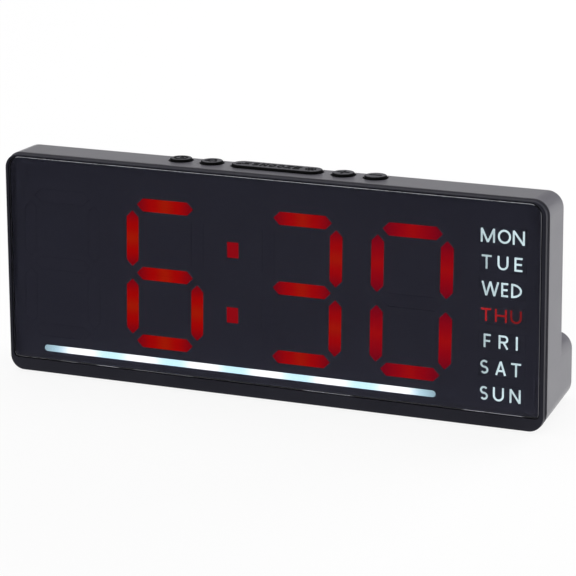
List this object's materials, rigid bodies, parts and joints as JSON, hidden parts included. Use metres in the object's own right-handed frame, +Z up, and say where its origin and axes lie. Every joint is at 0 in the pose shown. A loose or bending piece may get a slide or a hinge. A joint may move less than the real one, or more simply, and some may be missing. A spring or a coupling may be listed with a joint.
{
  "type": "dementia day clock",
  "caption": "Leaning digital day clock with a smoked window, red segment digits, a weekday column, a light bar, top keys and a rear battery door.",
  "frame": {"origin": "centre of the overall box in plan, at the level of the rubber feet's undersides", "axes": "+X to the viewer's right along the width, -Y towards the viewer, +Z up"},
  "size_m": [0.26, 0.0424, 0.1005],
  "materials": {
    "shell_plastic": "satin moulded black plastic with a fine texture",
    "frame_plastic": "gloss black moulded plastic",
    "smoked_lens": "smoked acrylic, polished",
    "tape": "black adhesive foam tape",
    "mask_plastic": "matt black moulded plastic",
    "unlit_diffuser": "dark translucent plastic, unlit",
    "red_diffuser": "translucent plastic lit red",
    "white_diffuser": "translucent plastic lit cool white",
    "printed_film": "black printed film",
    "circuit_board": "green solder mask",
    "led_package": "white moulded light emitter",
    "foot_rubber": "matt black rubber",
    "screw_steel": "zinc-plated steel",
    "switch_plastic": "black moulded plastic",
    "key_plastic": "satin moulded black plastic",
    "speaker_metal": "pressed steel basket",
    "cell_sleeve": "plain printed cell sleeve",
    "contact_steel": "nickel-plated spring steel",
    "chip_plastic": "moulded chip package",
    "ribbon_film": "flat ribbon cable film"
  },
  "bodies": {
    "clock": {"front_frame": "frame_plastic", "display_lens": "smoked_lens", "lens_tape": "tape", "light_mask": "mask_plastic", "hour_tens_segments": "unlit_diffuser", "hour_ones_segments": "red_diffuser", "minute_tens_segments": "red_diffuser", "minute_ones_segments": "red_diffuser", "colon_dots": "red_diffuser", "weekday_windows": "printed_film", "light_bar": "white_diffuser", "display_board": "circuit_board", "digit_leds": "led_package", "weekday_leds": "led_package", "light_bar_leds": "led_package", "rear_housing": "shell_plastic", "rubber_feet": "foot_rubber", "housing_screws": "screw_steel", "key_board": "circuit_board", "tact_switches": "switch_plastic", "speaker": "speaker_metal", "battery_cells": "cell_sleeve", "battery_contacts": "contact_steel", "contact_springs": "contact_steel", "control_board": "circuit_board", "control_chips": "chip_plastic", "power_socket": "contact_steel", "display_ribbon": "ribbon_film", "key_ribbon": "ribbon_film"},
    "mode_key_press": {"mode_key": "key_plastic", "mode_key_plunger": "switch_plastic"},
    "alarm_key_press": {"alarm_key": "key_plastic", "alarm_key_plunger": "switch_plastic"},
    "snooze_bar_press": {"snooze_bar": "key_plastic", "snooze_bar_plunger": "switch_plastic"},
    "plus_key_press": {"plus_key": "key_plastic", "plus_key_plunger": "switch_plastic"},
    "minus_key_press": {"minus_key": "key_plastic", "minus_key_plunger": "switch_plastic"},
    "door": {"battery_door": "shell_plastic"}
  },
  "joints": [
    {"name": "mode_key_travel", "type": "slide", "parent": "clock", "child": "mode_key_press", "axis": [0, -0.1771, -0.9842], "range_m": [0, 0.0004], "stiffness_N_per_m": 2500},
    {"name": "alarm_key_travel", "type": "slide", "parent": "clock", "child": "alarm_key_press", "axis": [0, -0.1771, -0.9842], "range_m": [0, 0.0004], "stiffness_N_per_m": 2500},
    {"name": "snooze_bar_travel", "type": "slide", "parent": "clock", "child": "snooze_bar_press", "axis": [0, -0.1771, -0.9842], "range_m": [0, 0.0004], "stiffness_N_per_m": 2500},
    {"name": "plus_key_travel", "type": "slide", "parent": "clock", "child": "plus_key_press", "axis": [0, -0.1771, -0.9842], "range_m": [0, 0.0004], "stiffness_N_per_m": 2500},
    {"name": "minus_key_travel", "type": "slide", "parent": "clock", "child": "minus_key_press", "axis": [0, -0.1771, -0.9842], "range_m": [0, 0.0004], "stiffness_N_per_m": 2500},
    {"name": "battery_door_lift", "type": "slide", "parent": "clock", "child": "door", "axis": [0, 0.9842, -0.1771], "range_m": [0, 0.02]}
  ]
}
